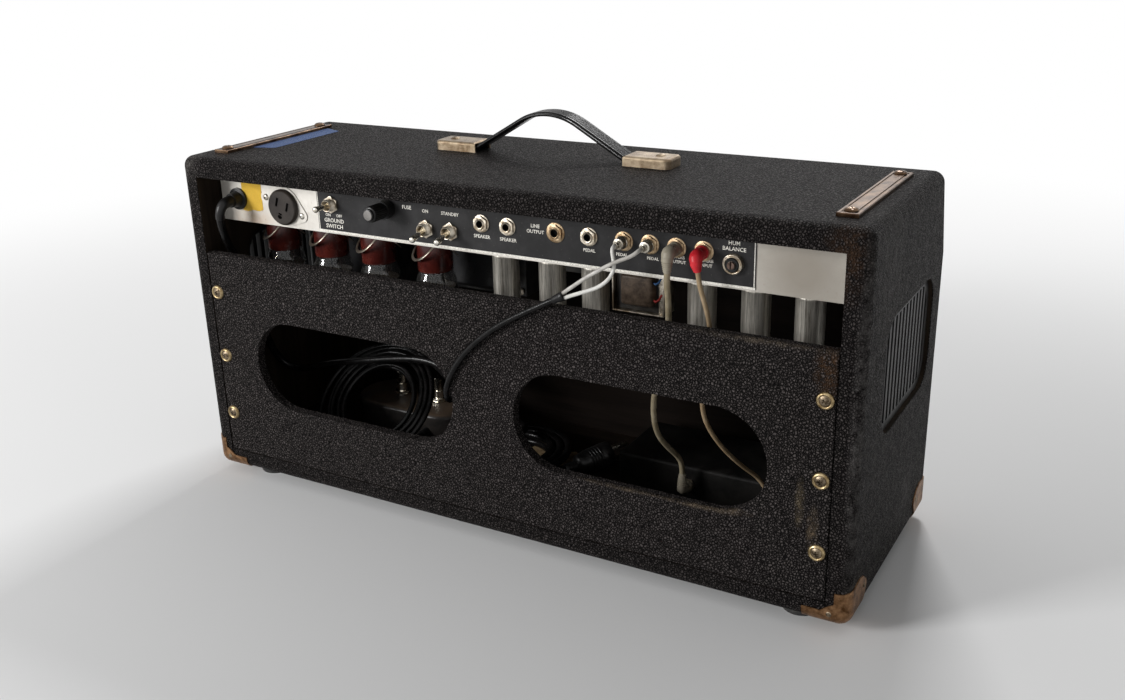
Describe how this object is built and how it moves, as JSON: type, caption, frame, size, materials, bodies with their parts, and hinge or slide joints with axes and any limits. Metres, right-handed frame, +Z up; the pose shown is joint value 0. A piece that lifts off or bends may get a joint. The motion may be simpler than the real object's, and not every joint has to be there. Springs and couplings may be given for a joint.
{
  "type": "guitar amplifier head",
  "caption": "Valve guitar amplifier head in a covered box, seen from the rear, with its leads and footswitch stored inside.",
  "frame": {"origin": "middle of the box at the bottom, on the surface that the feet stand on", "axes": "+Z up, +X the long side towards the mains inlet, +Y out of the rear sockets"},
  "size_m": [0.669, 0.2448, 0.3729],
  "materials": {
    "covering": "pebbled black vinyl",
    "boards": "bare pine",
    "cloth": "woven grille cloth, silver with dark thread",
    "corner_steel": "pressed steel, copper-brown with rust",
    "nickel": "aged nickel plate, pitted",
    "rubber": "black rubber",
    "strap_plastic": "moulded black strap",
    "handle_nickel": "aged nickel plate",
    "vent_plastic": "black moulding",
    "chassis_zinc": "pale grey zinc plate",
    "rear_black": "black enamel",
    "front_black": "black enamel",
    "jack_nickel": "nickel plate",
    "switch_metal": "nickel plate",
    "fuse_black": "black phenolic",
    "pot_metal": "plated case",
    "outlet_black": "dark phenolic",
    "glass": "clear glass over dark plates",
    "socket_phenolic": "brown phenolic and spring steel",
    "shield_aluminium": "drawn aluminium",
    "transformer_black": "black enamel",
    "board_fibre": "dark fibre board",
    "jewel_red": "faceted red jewel",
    "tank_steel": "zinc plate",
    "footswitch_paint": "black enamel cover, nickel switches",
    "relief_plastic": "black nylon",
    "plug_rubber": "black moulded plug, nickel prongs",
    "cord_black": "black jacket",
    "phono_nickel": "nickel, grey and red plug shells",
    "lead_beige": "beige and dark jacket",
    "knob_black": "black, skirted, white pointer",
    "fastener_brass": "aged cup washers and screws"
  },
  "bodies": {
    "amplifier": {"bottom_board": "boards", "top_board": "boards", "side_boards": "boards", "vinyl_covering": "covering", "back_panel": "covering", "fasteners": "fastener_brass", "front_baffle": "boards", "grille_cloth": "cloth", "corner_caps": "corner_steel", "feet": "rubber", "handle_strap": "strap_plastic", "handle_caps": "handle_nickel", "chassis_straps": "nickel", "side_vents": "vent_plastic", "chassis": "chassis_zinc", "rear_plate": "rear_black", "front_plate": "front_black", "jacks": "jack_nickel", "switch_bodies": "switch_metal", "fuse_holder": "fuse_black", "potentiometers": "pot_metal", "mains_outlet": "outlet_black", "tubes": "glass", "tube_sockets": "socket_phenolic", "tube_shields": "shield_aluminium", "power_transformer": "transformer_black", "output_transformers": "transformer_black", "circuit_board": "board_fibre", "pilot_lamp": "jewel_red", "reverb_tank": "tank_steel", "footswitch_base": "footswitch_paint", "strain_relief": "relief_plastic", "mains_plug": "plug_rubber", "mains_cord": "cord_black", "mains_coil": "cord_black", "pedal_cord": "cord_black", "pedal_coil": "cord_black", "phono_plugs": "phono_nickel", "reverb_cables": "lead_beige"},
    "knob_normal_volume": {"knob_normal_volume": "knob_black"},
    "knob_normal_treble": {"knob_normal_treble": "knob_black"},
    "knob_normal_middle": {"knob_normal_middle": "knob_black"},
    "knob_normal_bass": {"knob_normal_bass": "knob_black"},
    "knob_vibrato_volume": {"knob_vibrato_volume": "knob_black"},
    "knob_vibrato_treble": {"knob_vibrato_treble": "knob_black"},
    "knob_vibrato_middle": {"knob_vibrato_middle": "knob_black"},
    "knob_vibrato_bass": {"knob_vibrato_bass": "knob_black"},
    "knob_reverb": {"knob_reverb": "knob_black"},
    "knob_speed": {"knob_speed": "knob_black"},
    "knob_intensity": {"knob_intensity": "knob_black"},
    "knob_master": {"knob_master": "knob_black"},
    "hum_balance": {"hum_balance": "switch_metal"},
    "normal_bright_slider": {"normal_bright_slider": "fuse_black"},
    "vibrato_bright_slider": {"vibrato_bright_slider": "fuse_black"},
    "ground_switch_bat": {"ground_switch_bat": "switch_metal"},
    "power_switch_bat": {"power_switch_bat": "switch_metal"},
    "standby_switch_bat": {"standby_switch_bat": "switch_metal"},
    "fuse_cap": {"fuse_cap": "fuse_black"},
    "footswitch_button_a": {"footswitch_button_a": "switch_metal"},
    "footswitch_button_b": {"footswitch_button_b": "switch_metal"}
  },
  "joints": [
    {"name": "normal_volume_turn", "type": "hinge", "parent": "amplifier", "child": "knob_normal_volume", "pos_m": [-0.208, -0.10094, 0.28508], "axis": [0, -0.9575, 0.2886], "range_deg": [-150, 150]},
    {"name": "normal_treble_turn", "type": "hinge", "parent": "amplifier", "child": "knob_normal_treble", "pos_m": [-0.172, -0.10094, 0.28508], "axis": [0, -0.9575, 0.2886], "range_deg": [-150, 150]},
    {"name": "normal_middle_turn", "type": "hinge", "parent": "amplifier", "child": "knob_normal_middle", "pos_m": [-0.136, -0.10094, 0.28508], "axis": [0, -0.9575, 0.2886], "range_deg": [-150, 150]},
    {"name": "normal_bass_turn", "type": "hinge", "parent": "amplifier", "child": "knob_normal_bass", "pos_m": [-0.1, -0.10094, 0.28508], "axis": [0, -0.9575, 0.2886], "range_deg": [-150, 150]},
    {"name": "vibrato_volume_turn", "type": "hinge", "parent": "amplifier", "child": "knob_vibrato_volume", "pos_m": [0.016, -0.10094, 0.28508], "axis": [0, -0.9575, 0.2886], "range_deg": [-150, 150]},
    {"name": "vibrato_treble_turn", "type": "hinge", "parent": "amplifier", "child": "knob_vibrato_treble", "pos_m": [0.05, -0.10094, 0.28508], "axis": [0, -0.9575, 0.2886], "range_deg": [-150, 150]},
    {"name": "vibrato_middle_turn", "type": "hinge", "parent": "amplifier", "child": "knob_vibrato_middle", "pos_m": [0.084, -0.10094, 0.28508], "axis": [0, -0.9575, 0.2886], "range_deg": [-150, 150]},
    {"name": "vibrato_bass_turn", "type": "hinge", "parent": "amplifier", "child": "knob_vibrato_bass", "pos_m": [0.118, -0.10094, 0.28508], "axis": [0, -0.9575, 0.2886], "range_deg": [-150, 150]},
    {"name": "reverb_turn", "type": "hinge", "parent": "amplifier", "child": "knob_reverb", "pos_m": [0.152, -0.10094, 0.28508], "axis": [0, -0.9575, 0.2886], "range_deg": [-150, 150]},
    {"name": "speed_turn", "type": "hinge", "parent": "amplifier", "child": "knob_speed", "pos_m": [0.186, -0.10094, 0.28508], "axis": [0, -0.9575, 0.2886], "range_deg": [-150, 150]},
    {"name": "intensity_turn", "type": "hinge", "parent": "amplifier", "child": "knob_intensity", "pos_m": [0.22, -0.10094, 0.28508], "axis": [0, -0.9575, 0.2886], "range_deg": [-150, 150]},
    {"name": "master_turn", "type": "hinge", "parent": "amplifier", "child": "knob_master", "pos_m": [0.254, -0.10094, 0.28508], "axis": [0, -0.9575, 0.2886], "range_deg": [-150, 150]},
    {"name": "hum_balance_turn", "type": "hinge", "parent": "amplifier", "child": "hum_balance", "pos_m": [-0.2203, 0.0893, 0.286], "axis": [0, 1, 0], "range_deg": [-150, 150]},
    {"name": "normal_bright_slider_slide", "type": "slide", "parent": "amplifier", "child": "normal_bright_slider", "axis": [0, 0.2886, 0.9575], "range_m": [0, 0.004]},
    {"name": "vibrato_bright_slider_slide", "type": "slide", "parent": "amplifier", "child": "vibrato_bright_slider", "axis": [0, 0.2886, 0.9575], "range_m": [0, 0.004]},
    {"name": "ground_switch_tilt", "type": "hinge", "parent": "amplifier", "child": "ground_switch_bat", "pos_m": [0.174, 0.0933, 0.2935], "axis": [1, 0, 0], "range_deg": [-13, 13]},
    {"name": "power_switch_tilt", "type": "hinge", "parent": "amplifier", "child": "power_switch_bat", "pos_m": [0.068, 0.0933, 0.282], "axis": [1, 0, 0], "range_deg": [0, 30]},
    {"name": "standby_switch_tilt", "type": "hinge", "parent": "amplifier", "child": "standby_switch_bat", "pos_m": [0.0419, 0.0933, 0.2825], "axis": [1, 0, 0], "range_deg": [0, 30]},
    {"name": "fuse_cap_turn", "type": "hinge", "parent": "amplifier", "child": "fuse_cap", "pos_m": [0.1097, 0.0893, 0.296], "axis": [0, 1, 0], "range_deg": [0, 45]},
    {"name": "footswitch_press_a", "type": "slide", "parent": "amplifier", "child": "footswitch_button_a", "axis": [0, 0, -1], "range_m": [0, 0.004], "stiffness_N_per_m": 1500},
    {"name": "footswitch_press_b", "type": "slide", "parent": "amplifier", "child": "footswitch_button_b", "axis": [0, 0, -1], "range_m": [0, 0.004], "stiffness_N_per_m": 1500}
  ]
}
